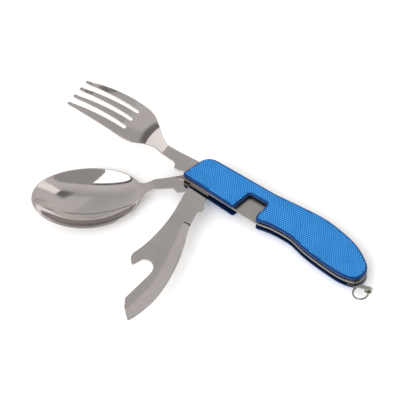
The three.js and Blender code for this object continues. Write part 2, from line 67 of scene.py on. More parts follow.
LOWER_SCALE = (0.0, 2.0)
SPOON_Z = 2.81
KNIFE_Z = 4.22
LOWER_PLATE_Z = 5.43
UPPER_PLATE_Z = 6.27
FORK_Z = 7.38
UPPER_SCALE = (8.09, 10.09)
FORK_ANGLE, SPOON_ANGLE, KNIFE_ANGLE = 178, 220, 277.7

# ---------------------------------------------------------------- materials


def new_material(name):
    material = bpy.data.materials.new(name)
    material.use_nodes = True
    nodes = material.node_tree.nodes
    return material, nodes, material.node_tree.links, nodes["Principled BSDF"]


def add_noise(nodes, links, scale, stretch=(1, 1, 1), detail=3.0):
    coordinates = nodes.new("ShaderNodeTexCoord")
    mapping = nodes.new("ShaderNodeMapping")
    mapping.inputs["Scale"].default_value = stretch
    noise = nodes.new("ShaderNodeTexNoise")
    noise.inputs["Scale"].default_value = scale
    noise.inputs["Detail"].default_value = detail
    links.new(coordinates.outputs["Object"], mapping.inputs["Vector"])
    links.new(mapping.outputs["Vector"], noise.inputs["Vector"])
    return noise


def mixed(nodes, links, factor, low, high):
    ramp = nodes.new("ShaderNodeValToRGB")
    ramp.color_ramp.elements[0].position = 0.3
    ramp.color_ramp.elements[1].position = 0.7
    ramp.color_ramp.elements[0].color = (*low, 1)
    ramp.color_ramp.elements[1].color = (*high, 1)
    links.new(factor, ramp.inputs["Fac"])
    return ramp.outputs["Color"]


def ranged(nodes, links, factor, low, high):
    node = nodes.new("ShaderNodeMapRange")
    node.inputs["From Min"].default_value = 0.3
    node.inputs["From Max"].default_value = 0.7
    node.inputs["To Min"].default_value = low
    node.inputs["To Max"].default_value = high
    links.new(factor, node.inputs["Value"])
    return node.outputs["Result"]


def metal(name, low, high, rough, scratch=0.1, grain=(40, 900, 900), bump=0.02):
    """Metal with cloudy colour, uneven roughness and a fine directional grain."""
    material, nodes, links, shader = new_material(name)
    shader.inputs["Metallic"].default_value = 1.0
    clouds = add_noise(nodes, links, 60.0)
    links.new(mixed(nodes, links, clouds.outputs["Fac"], low, high), shader.inputs["Base Color"])
    fine = add_noise(nodes, links, 1.0, grain, 2.0)
    roughness = ranged(nodes, links, fine.outputs["Fac"], rough, rough + scratch)
    links.new(roughness, shader.inputs["Roughness"])
    relief = nodes.new("ShaderNodeBump")
    relief.inputs["Strength"].default_value = bump
    relief.inputs["Distance"].default_value = 0.0001
    links.new(fine.outputs["Fac"], relief.inputs["Height"])
    links.new(relief.outputs["Normal"], shader.inputs["Normal"])
    return material


def anodised(name, low, high, rough, metallic):
    material, nodes, links, shader = new_material(name)
    shader.inputs["Metallic"].default_value = metallic
    shader.inputs["Specular IOR Level"].default_value = 0.25
    clouds = add_noise(nodes, links, 90.0)
    links.new(mixed(nodes, links, clouds.outputs["Fac"], low, high), shader.inputs["Base Color"])
    fine = add_noise(nodes, links, 2600.0)
    roughness = ranged(nodes, links, fine.outputs["Fac"], rough, rough + 0.12)
    links.new(roughness, shader.inputs["Roughness"])
    relief = nodes.new("ShaderNodeBump")
    relief.inputs["Strength"].default_value = 0.15
    relief.inputs["Distance"].default_value = 0.00005
    links.new(fine.outputs["Fac"], relief.inputs["Height"])
    links.new(relief.outputs["Normal"], shader.inputs["Normal"])
    return material


tool_steel = metal("tool_steel", (0.49, 0.455, 0.44), (0.54, 0.505, 0.49), 0.05, 0.07)
liner_steel = metal("liner_steel", (0.38, 0.36, 0.34), (0.46, 0.44, 0.41), 0.26, 0.12)
# The liners' rounded edges are the same steel darkened: painted shade.
liner_edge_painted_shade = metal("liner_edge_painted_shade", (0.22, 0.205, 0.19), (0.30, 0.28, 0.26), 0.3, 0.12)
hardware_steel = metal("hardware_steel", (0.34, 0.32, 0.30), (0.42, 0.40, 0.37), 0.10, 0.08)
washer_brass = metal("washer_brass", (0.55, 0.40, 0.16), (0.66, 0.50, 0.24), 0.3, 0.1)
# The scale's blues are lit and shaded copies of one finish: the face between the dots is painted
# shade and the dots carry a painted highlight.
blue_face_painted_shade = anodised("blue_face_painted_shade", (0.010, 0.130, 0.36), (0.014, 0.150, 0.42), 0.42, 0.35)
blue_dots_painted_highlight = anodised("blue_dots_painted_highlight", (0.045, 0.290, 0.72), (0.062, 0.330, 0.80), 0.34, 0.30)
# Painted shade on the scale's shoulder, walls and back, and a painted highlight on the thin lip,
# lighter than the shoulder.
blue_edge_painted_shade = anodised("blue_edge_painted_shade", (0.003, 0.016, 0.075), (0.004, 0.024, 0.10), 0.3, 0.6)
blue_lip_painted_highlight = anodised("blue_lip_painted_highlight", (0.012, 0.05, 0.20), (0.018, 0.07, 0.25), 0.3, 0.6)
# Near-black steel as painted shade: in the knife's scored groove and on the spacers in the gap
# between the plates.
painted_shade_steel = metal("painted_shade_steel", (0.035, 0.032, 0.032), (0.06, 0.055, 0.05), 0.4, 0.2)

# ---------------------------------------------------------------- outlines in the plane


def bezier(*points, steps=10):
    """Points of a quadratic or cubic curve, without the first."""
    found = []
    for step in range(1, steps + 1):
        t = step / steps
        layer = [Vector(p) for p in points]
        while len(layer) > 1:
            layer = [a.lerp(b, t) for a, b in zip(layer, layer[1:])]
        found.append(tuple(layer[0]))
    return found


def rounded(corners, closed=True, steps=5):
    """Outline through corners (x, y, trim): a trim rounds the corner that far along its sides."""
    found = []
    count = len(corners)
    for i, (x, y, *trim) in enumerate(corners):
        here = Vector((x, y))
        inner = closed or 0 < i < count - 1
        if not trim or not inner:
            found.append((x, y))
            continue
        before = Vector(corners[i - 1][:2]) - here
        after = Vector(corners[(i + 1) % count][:2]) - here
        start = here + before.normalized() * trim[0]
        end = here + after.normalized() * trim[0]
        found.append(tuple(start))
        found += bezier(start, here, end, steps=steps)
    return found


def catmull(points, steps=12):
    """Uniform Catmull-Rom curve through points."""
    padded = [points[0], *points, points[-1]]
    found = [points[0]]
    for a, b, c, d in zip(padded, padded[1:], padded[2:], padded[3:]):
        for step in range(1, steps + 1):
            t = step / steps
            found.append(tuple(
                b[k] + 0.5 * t * (c[k] - a[k])
                + t * t * (a[k] - 2.5 * b[k] + 2 * c[k] - 0.5 * d[k])
                + t ** 3 * (1.5 * (b[k] - c[k]) + 0.5 * (d[k] - a[k]))
                for k in range(2)
            ))
    return found


def arc(centre, radius, start, end, steps=10):
    angles = [math.radians(start + (end - start) * i / steps) for i in range(steps + 1)]
    return [(centre[0] + radius * math.cos(a), centre[1] + radius * math.sin(a)) for a in angles]


def resampled(outline, spacing):
    """The closed outline with long sides split, and points closer than a tenth of that dropped."""
    kept = [Vector(outline[0])]
    for point in outline[1:]:
        if (Vector(point) - kept[-1]).length > spacing * 0.1:
            kept.append(Vector(point))
    if (kept[-1] - kept[0]).length < spacing * 0.1:
        kept.pop()
    found = []
    for a, b in zip(kept, kept[1:] + kept[:1]):
        pieces = max(1, math.ceil((b - a).length / spacing))
        found += [a.lerp(b, i / pieces) for i in range(pieces)]
    return np.array([tuple(p) for p in found])


def outward(points):
    """Unit normals at the points of a closed outline with its material on the left."""
    ahead = np.roll(points, -1, axis=0) - points
    ahead /= np.linalg.norm(ahead, axis=1)[:, None]
    behind = np.roll(ahead, 1, axis=0)
    side = (ahead + behind)[:, ::-1] * (1, -1)
    return side / np.linalg.norm(side, axis=1)[:, None]


def inset(points, distance):
    """The outline moved into its material. Sharp corners move a little further, as a mitre."""
    normals = outward(points)
    ahead = np.roll(points, -1, axis=0) - points
    ahead /= np.linalg.norm(ahead, axis=1)[:, None]
    cosine = np.clip((normals * (ahead[:, ::-1] * (1, -1))).sum(axis=1), 0.6, 1)
    return points - normals * (distance / cosine)[:, None]


def inside(points, outlines):
    """True for the points inside the outlines, by the even-odd rule."""
    points = np.asarray(points)
    result = np.zeros(len(points), bool)
    for outline in outlines:
        ends = np.roll(outline, -1, axis=0)
        for (x0, y0), (x1, y1) in zip(outline, ends):
            crosses = (y0 > points[:, 1]) != (y1 > points[:, 1])
            with np.errstate(divide="ignore", invalid="ignore"):
                at = x0 + (points[:, 1] - y0) * (x1 - x0) / (y1 - y0)
            result ^= crosses & (points[:, 0] < at)
    return result


def distance_to(points, outlines):
    points = np.asarray(points)
    nearest = np.full(len(points), 1e9)
    for outline in outlines:
        for a, b in zip(outline, np.roll(outline, -1, axis=0)):
            side = b - a
            t = np.clip((points - a) @ side / (side @ side), 0, 1)
            nearest = np.minimum(nearest, np.linalg.norm(points - a - t[:, None] * side, axis=1))
    return nearest


def grid(outlines, spacing, margin):
    """Staggered points inside the outlines, at least margin from them."""
    low = outlines[0].min(axis=0)
    high = outlines[0].max(axis=0)
    found = []
    rise = spacing * 0.866
    for row in range(int((high[1] - low[1]) / rise) + 2):
        shift = spacing / 2 if row % 2 else 0
        for column in range(int((high[0] - low[0]) / spacing) + 2):
            found.append((low[0] + column * spacing + shift, low[1] + row * rise))
    found = np.array(found)
    found = found[inside(found, outlines)]
    return found[distance_to(found, outlines) > margin]


def triangulated(outlines, extra):
    """(points, triangles) that fill the outlines, with extra points inside them."""
    points = [Vector(p) for outline in outlines for p in outline]
    edges = []
    start = 0
    for outline in outlines:
        count = len(outline)
        edges += [(start + i, start + (i + 1) % count) for i in range(count)]
        start += count
    points += [Vector(p) for p in extra]
    found, _, faces, *_ = delaunay_2d_cdt(points, edges, [], 0, 1e-5)
    found = np.array([tuple(p) for p in found])
    faces = np.array([f for f in faces if len(f) == 3])
    keep = inside(found[faces].mean(axis=1), outlines)
    return found, faces[keep]


# ---------------------------------------------------------------- meshes


def make_object(name, points, faces, normals, matrix, material):
    """A mesh object from millimetre points and normals, placed by a matrix."""
    mesh = bpy.data.meshes.new(name)
    turned = [matrix @ Vector(p) for p in points]
    mesh.from_pydata(turned, [], [tuple(int(i) for i in face) for face in faces])
    for slot in material if isinstance(material, list) else [material]:
        mesh.materials.append(slot)
    mesh.polygons.foreach_set("use_smooth", [True] * len(mesh.polygons))
    if normals is not None:
        spin = matrix.to_3x3().normalized()
        turned_normals = [(spin @ Vector(n)).normalized() for n in normals]
        mesh.normals_split_custom_set_from_vertices(turned_normals)
    mesh.update()
    obj = bpy.data.objects.new(name, mesh)
    bpy.context.collection.objects.link(obj)
    return obj


def gradient_normals(surface, points):
    step = 0.04
    x, y = points[:, 0], points[:, 1]
    dx = (surface(x + step, y) - surface(x - step, y)) / (2 * step)
    dy = (surface(x, y + step) - surface(x, y - step)) / (2 * step)
    normals = np.stack([-dx, -dy, np.ones_like(dx)], axis=1)
    return normals / np.linalg.norm(normals, axis=1)[:, None]


def flat(x, y):
    return np.zeros_like(x)


EDGE_PROFILE = [45, 0]     # angles, above the sheet's plane, of the normals round its edge


def sheet(name, outlines, matrix, material, height=flat, half=0.4, edge=0.12, spacing=1.5,
          extra=()):
    """Sheet metal: a surface height(x, y) with half its thickness to each side.

    edge is the radius that rounds its edges, and extra holds more points for its faces."""
    thickness = half if callable(half) else (lambda x, y: np.full_like(x, half))
    radii = []
    rings = []
    for outline in outlines:
        local = np.minimum(edge, 0.8 * thickness(outline[:, 0], outline[:, 1]))
        radii.append(local)
        normals = outward(outline)
        rings.append(outline - normals * local[:, None])
    inner = list(grid(rings, spacing, spacing * 0.4))
    if len(extra):
        extra = np.array(extra)
        extra = extra[inside(extra, rings)]
        extra = extra[distance_to(extra, rings) > 0.15]
        clear = [np.linalg.norm(extra - p, axis=1).min() > spacing * 0.3 for p in inner]
        inner = [p for p, kept in zip(inner, clear) if kept] + list(extra)
    plane, triangles = triangulated(rings, inner)
    z = height(plane[:, 0], plane[:, 1])
    middle = gradient_normals(height, plane)
    depth = thickness(plane[:, 0], plane[:, 1])
    base = np.column_stack([plane, z])
    top_normals = gradient_normals(lambda x, y: height(x, y) + thickness(x, y), plane)
    low_normals = -gradient_normals(lambda x, y: height(x, y) - thickness(x, y), plane)
    points = [*(base + middle * depth[:, None]), *(base - middle * depth[:, None])]
    normals = [*top_normals, *low_normals]
    count = len(plane)
    faces = [tuple(t) for t in triangles] + [tuple(t[::-1] + count) for t in triangles]
    start = 0
    for outline, local in zip(outlines, radii):
        total = len(outline)
        rim_z = height(outline[:, 0], outline[:, 1])
        up = gradient_normals(height, outline)
        out = np.column_stack([outward(outline), np.zeros(total)])
        out -= up * (out * up).sum(axis=1)[:, None]
        out /= np.linalg.norm(out, axis=1)[:, None]
        deep = thickness(outline[:, 0], outline[:, 1])
        rim = np.column_stack([outline, rim_z])
        rings_at = [np.arange(start, start + total)]
        for side in (1, -1):
            for angle in EDGE_PROFILE[::side]:
                a = math.radians(angle)
                lift = side * (deep - local + local * math.sin(a))
                place = rim + out * (local * (math.cos(a) - 1))[:, None] + up * lift[:, None]
                rings_at.append(np.arange(len(points), len(points) + total))
                points += list(place)
                normals += list(out * math.cos(a) + up * (side * math.sin(a)))
        rings_at.append(np.arange(start, start + total) + count)
        for high, low in zip(rings_at, rings_at[1:]):
            for i in range(total):
                j = (i + 1) % total
                faces.append((high[i], low[i], low[j], high[j]))
        start += total
    obj = make_object(name, points, faces, normals, matrix, material)
    if isinstance(material, list):          # the second material is the edges'
        flat_faces = 2 * len(triangles)
        obj.data.polygons.foreach_set(
            "material_index", [0] * flat_faces + [1] * (len(faces) - flat_faces))
    return obj


def sweep(name, path, ups, section, section_normals, matrix, material):
    """A bar along a path. The section's points are (across, up), anticlockwise from its end."""
    path = np.array(path, float)
    ups = np.array(ups, float)
    ahead = np.gradient(path, axis=0)
    ahead /= np.linalg.norm(ahead, axis=1)[:, None]
    across = np.cross(ups, ahead)
    across /= np.linalg.norm(across, axis=1)[:, None]
    points, normals, faces = [], [], []
    count = len(section)
    for place, side, up in zip(path, across, np.cross(ahead, across)):
        points += [place + side * a + up * b for a, b in section]
        normals += [side * a + up * b for a, b in section_normals]
    for step in range(len(path) - 1):
        for i in range(count):
            a = step * count + i
            b = step * count + (i + 1) % count
            faces.append((a, b, b + count, a + count))
    faces.append(tuple(reversed(range(count))))
    faces.append(tuple(range(len(points) - count, len(points))))
    return make_object(name, points, faces, normals, matrix, material)


def rounded_bar(width, height, radius, steps=3):
    """Section points and normals of a bar with rounded corners."""
    points, normals = [], []
    corners = [(1, 1, 0), (-1, 1, 90), (-1, -1, 180), (1, -1, 270)]
    for sx, sy, start in corners:
        centre = (sx * (width / 2 - radius), sy * (height / 2 - radius))
        for step in range(steps + 1):
            angle = math.radians(start + 90 * step / steps)
            normal = (math.cos(angle), math.sin(angle))
            points.append((centre[0] + radius * normal[0], centre[1] + radius * normal[1]))
            normals.append(normal)
    return points, normals


def curve_through(pairs):
    """Smooth curve through (x, y) pairs, as a function of an array of x."""
    xs = np.array([p[0] for p in pairs], float)
    ys = np.array([p[1] for p in pairs], float)
    slopes = np.zeros_like(ys)
    slopes[1:-1] = (ys[2:] - ys[:-2]) / (xs[2:] - xs[:-2])

    def read(x):
        x = np.clip(np.asarray(x, float), xs[0], xs[-1])
        i = np.clip(np.searchsorted(xs, x, side="right") - 1, 0, len(xs) - 2)
        span = xs[i + 1] - xs[i]
        t = (x - xs[i]) / span
        return ((2 * t ** 3 - 3 * t ** 2 + 1) * ys[i] + (t ** 3 - 2 * t ** 2 + t) * slopes[i] * span
                + (3 * t ** 2 - 2 * t ** 3) * ys[i + 1] + (t ** 3 - t ** 2) * slopes[i + 1] * span)

    return read


# ---------------------------------------------------------------- the handle

TAIL = [
    (37, 9.3), (52.6, 10.5), (66, 11.1), (78.7, 9.4), (88.8, 6.6), (96.8, 2.0), (100.7, -2.0),
    (101.2, -6.6), (98.8, -11.0), (91, -12.9), (79.4, -12.2), (67.2, -10.5), (57, -8.0),
    (46, -8.0), (38.5, -9.3),
]
NOTCH = [
    (36.8, -9.7, 1.2), (35.5, -5.8, 1.8), (36.8, -2.2, 1.8), (36.6, 2.0, 1.2),
    (25.8, 2.0, 1.5), (23.1, -9.9, 1.6),
]
HEAD = [(-10.4, -7.4, 2.4), (-5.0, 9.5, 6.3)]


def handle_outline(notched, spacing=1.2):
    curve = catmull(TAIL)[1:]
    corners = [TAIL[-1], *(NOTCH if notched else []), *HEAD, TAIL[0]]
    line = [TAIL[0], *curve, *rounded(corners, closed=False)[1:-1]]
    points = resampled(line, spacing)
    return points[::-1]         # the drawn direction is clockwise; the material belongs on the left


DOT_PITCH_X, DOT_PITCH_Y = 1.24, 1.14
DOT_PROFILE = [(0.45, 0.0), (0.30, 0.10), (0.0, 0.15)]    # radius, height
DOT_SIDES = 8
FACE_INSET = 1.0

# The edge of a scale from the textured face down: (inset, drop below the face, normal angle).
SCALE_EDGE = [
    (0.95, 0.00, 80), (0.80, 0.05, 55), (0.62, 0.28, 25), (0.52, 0.62, 25), (0.42, 0.72, 60),
    (0.20, 0.76, 75), (0.05, 0.86, 40), (0.00, 1.02, 0), (0.00, 1.86, 0), (0.10, 1.97, -45),
    (0.25, 2.00, -90),
]
# A scale's materials are one blue painted in four tones of light and shade.
FACE, DOTS, EDGE, LIP = range(4)        # a scale's materials
LIP_BANDS = range(4, 7)                 # the bands of SCALE_EDGE that make the lip


def scale_half(name, layer, face_up, body, slot_name):
    """A handle scale: a field of raised dots, a dark shoulder, and a thin lip round its foot. Its
    blues are painted light and shade: painted shade on the face between the dots and on the
    shoulder, painted highlights on the dots and the lip.
    """
    outline = handle_outline(True, 0.9)
    normals2 = outward(outline)
    sign = 1 if face_up else -1
    face_z = layer[1] if face_up else layer[0]
    points, normals, faces, slots = [], [], [], []
    total = len(outline)
    rings = []
    for distance, drop, angle in SCALE_EDGE:
        ring = inset(outline, distance)
        a = math.radians(angle)
        rings.append(len(points))
        points += [(x, y, face_z - sign * drop) for x, y in ring]
        normals += [(nx * math.cos(a), ny * math.cos(a), sign * math.sin(a)) for nx, ny in normals2]
    for row, (high, low) in enumerate(zip(rings, rings[1:])):
        for i in range(total):
            j = (i + 1) % total
            quad = (high + i, low + i, low + j, high + j)
            faces.append(quad if face_up else quad[::-1])
            slots.append(FACE if row == 0 else LIP if row in LIP_BANDS else EDGE)
    for ring, up, slot_index in ((rings[0], sign, FACE), (rings[-1], -sign, EDGE)):
        edge = np.array([points[ring + i][:2] for i in range(total)])
        plane, triangles = triangulated([edge], [])
        start = len(points)
        z = points[ring][2]
        points += [(x, y, z) for x, y in plane]
        normals += [(0, 0, up)] * len(plane)
        for t in triangles:
            faces.append(tuple(start + i for i in (t if up > 0 else t[::-1])))
            slots.append(slot_index)
    field = inset(outline, FACE_INSET)
    dots = []
    low, high = field.min(axis=0), field.max(axis=0)
    for row in range(int((high[1] - low[1]) / DOT_PITCH_Y) + 1):
        shift = DOT_PITCH_X / 2 if row % 2 else 0
        for column in range(int((high[0] - low[0]) / DOT_PITCH_X) + 1):
            dots.append((low[0] + column * DOT_PITCH_X + shift, low[1] + row * DOT_PITCH_Y))
    dots = np.array(dots)
    dots = dots[inside(dots, [field])]
    dots = dots[distance_to(dots, [field]) > 0.25]
    for x, y in dots:
        base = len(points)
        for radius, rise in DOT_PROFILE[:-1]:
            lean = 0.55 if rise == 0 else 0.35
            for i in range(DOT_SIDES):
                a = 2 * math.pi * i / DOT_SIDES
                dx, dy = math.cos(a), math.sin(a)
                points.append((x + radius * dx, y + radius * dy, face_z + sign * rise))
                normals.append((lean * dx, lean * dy, sign * (1 - lean)))
        points.append((x, y, face_z + sign * DOT_PROFILE[-1][1]))
        normals.append((0, 0, sign))
        for i in range(DOT_SIDES):
            j = (i + 1) % DOT_SIDES
            quad = (base + i, base + j, base + DOT_SIDES + j, base + DOT_SIDES + i)
            cap = (base + DOT_SIDES + i, base + DOT_SIDES + j, base + 2 * DOT_SIDES)
            faces += [quad, cap] if face_up else [quad[::-1], cap[::-1]]
            slots += [DOTS, DOTS]
    finishes = [blue_face_painted_shade, blue_dots_painted_highlight, blue_edge_painted_shade, blue_lip_painted_highlight]
    obj = make_object(name, points, faces, normals, placed(), finishes)
    obj.data.polygons.foreach_set("material_index", slots)
    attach(obj, body)
    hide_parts(slot_name)
    return obj


def circle_hole(x, y, radius, sides=20):
    return np.array(arc((x, y), radius, 360, 360 / sides, sides - 1))


LOWER_SCREWS = [(29, 7.6), (98.1, -8.4), (98.2, -1.8)]
UPPER_SCREWS = [(30, 6.4), (68, 0), (98.1, -8.4), (98.2, -1.8)]
STUDS = [(48, 0), (82, -2)]
UNLOCK_TRAVEL = 7
STOP_PIN = (17.3, 7.9)
SCREW_HOLE, PIVOT_HEAD_HOLE, STUD_HOLE, STOP_PIN_HOLE = 1.26, 3.06, 2.06, 0.76      # radii


def keyhole(x, y):
    """Slot of the stud's neck and the hole that its head fits, clockwise."""
    neck, head = 1.35, 2.3
    meet = math.degrees(math.asin(neck / head))
    line = arc((x + UNLOCK_TRAVEL, y), head, 180 - meet, -180 + meet, 18)
    line += arc((x, y), neck, 270, 90, 10)
    return resampled(line, 1.0)


pivot_head_hole = circle_hole(0, 0, PIVOT_HEAD_HOLE)
upper_holes = [circle_hole(x, y, SCREW_HOLE) for x, y in UPPER_SCREWS] + [pivot_head_hole]
upper_holes += [keyhole(x, y) for x, y in STUDS]
lower_holes = [circle_hole(x, y, SCREW_HOLE) for x, y in LOWER_SCREWS] + [pivot_head_hole]
lower_holes += [circle_hole(x, y, STUD_HOLE) for x, y in STUDS]
lower_holes += [circle_hole(*STOP_PIN, STOP_PIN_HOLE)]

for side, holes, z in (("upper", upper_holes, UPPER_PLATE_Z), ("lower", lower_holes, LOWER_PLATE_Z)):
    # The second material paints shade on the liners' edges.
    liner = sheet(f"{side}_liner", [handle_outline(False), *holes], placed(z=z),
                  [liner_steel, liner_edge_painted_shade], spacing=3.0)
    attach(liner, f"{side}_half")
    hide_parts(f"{side}_plate")

scale_half("upper_grip", UPPER_SCALE, True, "upper_half", "upper_scale")
scale_half("lower_grip", LOWER_SCALE, False, "lower_half", "lower_scale")

# ---------------------------------------------------------------- the eye and the ring

EYE_CENTRE = (106.45, -9.5)
EYE_TURN = 20
EYE_MIDDLE_RADIUS = 1.8
EYE_STRIP = 0.6
EYE_WIDTH = 2.1
EYE_Z = 3.73
EYE_TAB = 7.5           # length of strip from the liner to the roll
EYE_ROLL = 295          # degrees of the roll


def rolled_eye():
    """The strip that leaves the liner's tail and rolls down into the ring's eye."""
    tab_steps, steps = 10, 40
    path = [(EYE_TAB * (i / tab_steps - 1), 0, EYE_MIDDLE_RADIUS) for i in range(tab_steps)]
    ups = [(0, 0, 1)] * tab_steps
    for step in range(steps + 1):
        a = math.radians(90 - EYE_ROLL * step / steps)
        path.append((EYE_MIDDLE_RADIUS * math.cos(a), 0, EYE_MIDDLE_RADIUS * math.sin(a)))
        ups.append((math.cos(a), 0, math.sin(a)))
    section, normals = rounded_bar(EYE_WIDTH, EYE_STRIP, 0.14)
    place = placed(EYE_TURN, EYE_Z, *EYE_CENTRE)
    eye = sweep("ring_eye", path, ups, section, normals, place, hardware_steel)
    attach(eye, "lower_half")
    return eye


RING_RADIUS = 4.1
RING_SKEW = 30
RING_DROOP = 10
RING_PITCH = 0.51       # between the two turns of wire
RING_TURNS = 1.97
RING_CROSSING = 50      # degrees over which one turn steps across to the other


def split_ring():
    """Two turns of flat wire that cross over at the end of the first turn."""
    steps = 150
    path = []
    for step in range(steps + 1):
        angle = 2 * math.pi * RING_TURNS * step / steps
        start = 2 * math.pi - math.radians(RING_CROSSING)
        t = min(max((angle - start) / math.radians(RING_CROSSING), 0), 1)
        z = (t * t * (3 - 2 * t) - 0.5) * RING_PITCH
        path.append((RING_RADIUS * math.cos(angle), RING_RADIUS * math.sin(angle), z))
    ups = [(0, 0, 1)] * len(path)
    section, normals = rounded_bar(0.8, 0.46, 0.18)
    eye_axis = math.radians(EYE_TURN - 90)
    turn = math.radians(RING_SKEW - 90)
    droop = math.radians(RING_DROOP)
    swing = Matrix.Translation(Vector((*EYE_CENTRE, EYE_Z)))
    swing = swing @ Matrix.Rotation(eye_axis, 4, "Z") @ Matrix.Rotation(droop, 4, "X")
    shift = Matrix.Translation((RING_RADIUS * math.cos(turn), RING_RADIUS * math.sin(turn), 0))
    ring = sweep("key_ring", path, ups, section, normals, placed() @ swing @ shift, hardware_steel)
    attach(ring, "ring_body")
    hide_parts("split_ring")
    return ring


rolled_eye()
split_ring()

# ---------------------------------------------------------------- tools

PIVOT_HOLE = circle_hole(0, 0, 2.06, 28)
NECK_HALF = 3.1             # half the width of the fork's and the spoon's tangs at the neck


def tang_side(neck_half, end):
    """The tang's outline from its +Y side at the neck, round the pivot, to its -Y side."""
    corners = [
        (end, neck_half), (18.2, neck_half + 0.2, 1.2), (17.0, 4.4, 0.6), (16.4, 6.3, 1.0),
        (13.2, 6.3, 1.4), (10.5, 5.2, 1.5), (-5.6, 5.6, 5.4), (-5.6, -5.6, 5.4),
        (18, -neck_half - 0.3, 4.0), (end, -neck_half),
    ]
    return rounded(corners, closed=False, steps=8)


def fork():
    length, root = 83.5, 48.5
    slot_pitch, slot_half = 5.7, 0.95
    half_width = curve_through([
        (25, 3.1), (30, 3.6), (35, 6.7), (40, 9.9), (45, 11.2), (52, 11.4), (62, 11.0),
        (72, 10.2), (length, 8.9),
    ])
    rise = curve_through([
        (25, 0), (26.4, 0.15), (27.6, 0.9), (35, 6.4), (44, 8.9), (54, 9.6), (64, 8.7),
        (74, 6.5), (length, 4.0),
    ])
    dish = curve_through([(25, 0), (34, 0), (46, 1.2), (56, 0.9), (length, 0.3)])

    def height(x, y):
        across = np.clip(y / half_width(x), -1, 1)
        return np.where(x > 25, rise(x) - dish(x) * across ** 2, 0.0)

    def slot_edge(side, x):
        """(lower, upper) edges of a slot between the tines at x."""
        t = (x - root) / (length + 2 - root)
        centre = side * (slot_pitch - 0.3 * t)
        spread = slot_half + 0.8 * t
        return centre - spread, centre + spread

    tip = length - 1.0
    xs = np.linspace(25.2, tip, 56)
    line = [(x, -float(half_width(x))) for x in xs]
    low = -float(half_width(tip))
    slot_xs = np.linspace(tip, root, 30)
    for side in (-1, 0, 1):
        high = slot_edge(side, tip)[0]
        line += tine_tip(tip, low, high)
        line += [(x, slot_edge(side, x)[0]) for x in slot_xs[1:]]
        line += arc((root, side * slot_pitch), slot_half, 270, 90, 8)[1:-1]
        line += [(x, slot_edge(side, x)[1]) for x in slot_xs[::-1]]
        low = slot_edge(side, tip)[1]
    line += tine_tip(tip, low, float(half_width(tip)))
    line += [(x, float(half_width(x))) for x in xs[::-1]]
    line += tang_side(NECK_HALF, 25)[1:-1]
    bend_xs = (25.6, 26.1, 26.6, 27.1, 27.6, 28.2)
    bend = [(x, y) for x in bend_xs for y in np.linspace(-3, 3, 8)]
    outline = resampled(line, 1.0)
    return sheet("dinner_fork", [outline, PIVOT_HOLE], placed(FORK_ANGLE, FORK_Z), tool_steel,
                 height=height, half=0.5, edge=0.22, spacing=1.1, extra=bend)


def tine_tip(x, low, high):
    """The rounded end of a tine, from its lower to its upper edge."""
    reach = 1.0
    middle, half = (low + high) / 2, (high - low) / 2
    angles = [math.radians(-90 + 180 * i / 8) for i in range(9)]
    return [(x + reach * math.cos(a), middle + half * math.sin(a)) for a in angles]


def spoon():
    start, end, wide, deep = 33.5, 91.5, 18.1, 7.4
    middle, half_length = (start + end) / 2, (end - start) / 2
    shoulder = curve_through([(25.5, 3.1), (31, 3.2), (36, 6.2), (40, 9)])
    rim = curve_through([
        (25.5, 0), (27.2, -0.3), (34, -4.6), (44, -6.1), (60, -6.9), (76, -5.8), (end, -3.7),
    ])

    def half_width(x):
        oval = wide * np.sqrt(np.maximum(0, 1 - ((x - middle) / half_length) ** 2))
        return np.where(x < 40, np.maximum(shoulder(x), oval), oval)

    def height(x, y):
        s = ((x - middle) / half_length) ** 2 + (y / wide) ** 2
        bowl = (1 - s) * (1 + 0.4 * s)
        bowl = 0.5 * (bowl + np.sqrt(bowl ** 2 + 0.004))
        return np.where(x > 25.5, rim(x) - deep * bowl, 0.0)

    neck = np.linspace(25.7, 40, 16)
    line = [(x, -float(half_width(x))) for x in neck]
    angle = math.degrees(math.acos((40 - middle) / half_length))
    round_end = [math.radians(-angle + 2 * angle * i / 110) for i in range(1, 110)]
    line += [(middle + half_length * math.cos(a), wide * math.sin(a)) for a in round_end]
    line += [(x, float(half_width(x))) for x in neck[::-1]]
    line += tang_side(NECK_HALF, 25.5)[1:-1]
    outline = resampled(line, 1.2)
    return sheet("table_spoon", [outline, PIVOT_HOLE], placed(SPOON_ANGLE, SPOON_Z), tool_steel,
                 height=height, half=0.6, edge=0.3, spacing=1.0)


